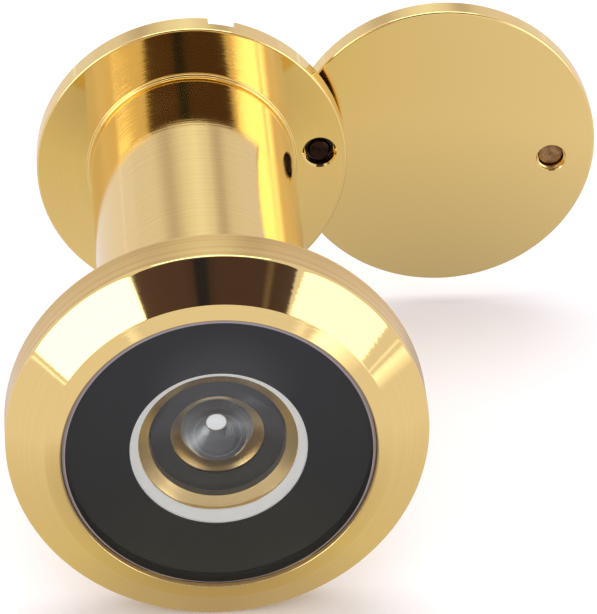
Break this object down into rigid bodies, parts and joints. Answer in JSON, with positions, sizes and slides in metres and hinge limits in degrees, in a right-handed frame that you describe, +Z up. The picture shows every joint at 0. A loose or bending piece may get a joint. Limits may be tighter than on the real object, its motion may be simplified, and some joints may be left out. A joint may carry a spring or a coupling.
{
  "type": "door viewer",
  "caption": "Wide-angle door viewer: a bezelled lens barrel and a flanged inner tube screw together through a door, with a disc cover that swings over the eyepiece.",
  "frame": {"origin": "on the viewer's axis, in the plane where the bezel seats on the door's outer face", "axes": "+Y through the door from outside to inside along the viewer's axis, +Z up, +X to the right seen from outside"},
  "size_m": [0.0417, 0.0431, 0.027],
  "materials": {
    "polished_gold": "polished plated brass",
    "turned_brass": "plain turned brass",
    "dark_pin_brass": "oxidised brass",
    "spring_steel": "rolled spring steel",
    "clear_glass": "polished optical glass",
    "black_mask": "black film",
    "black_nylon": "matt black nylon",
    "grey_stop": "dark grey anodised look",
    "white_nylon": "natural nylon"
  },
  "bodies": {
    "barrel": {"front_barrel": "polished_gold", "objective_lens": "clear_glass", "lens_mask": "black_mask", "lens_seat_ring": "white_nylon", "front_spacer": "turned_brass", "stop_cup": "grey_stop", "dome_spacer": "turned_brass", "dome_lens": "clear_glass", "rear_spacer": "black_nylon", "field_lens": "clear_glass"},
    "tube": {"inner_tube": "turned_brass", "tube_baffle": "black_nylon", "eyepiece_ring": "turned_brass", "eyepiece_lens": "clear_glass"},
    "flange": {"rear_flange": "polished_gold", "spring_washer": "spring_steel"},
    "cover": {"cover_disc": "polished_gold", "pivot_pin": "dark_pin_brass", "pivot_collar": "spring_steel", "cover_knob": "polished_gold"}
  },
  "joints": [
    {"name": "grip_slide", "type": "slide", "parent": "barrel", "child": "tube", "axis": [0, 1, 0], "range_m": [0, 0.01875]},
    {"name": "flange_turn", "type": "hinge", "parent": "tube", "child": "flange", "pos_m": [0, 0, 0], "axis": [0, 1, 0], "range_deg": [0, 9000]},
    {"name": "cover_swing", "type": "hinge", "parent": "flange", "child": "cover", "pos_m": [0.00879, 0.0345, 0.00073], "axis": [0, 1, 0], "range_deg": [-194.76, 165.24]}
  ],
  "couplings": [
    {"joint": "flange_turn", "follows": "grip_slide", "rad_per_m": 8377.6}
  ]
}
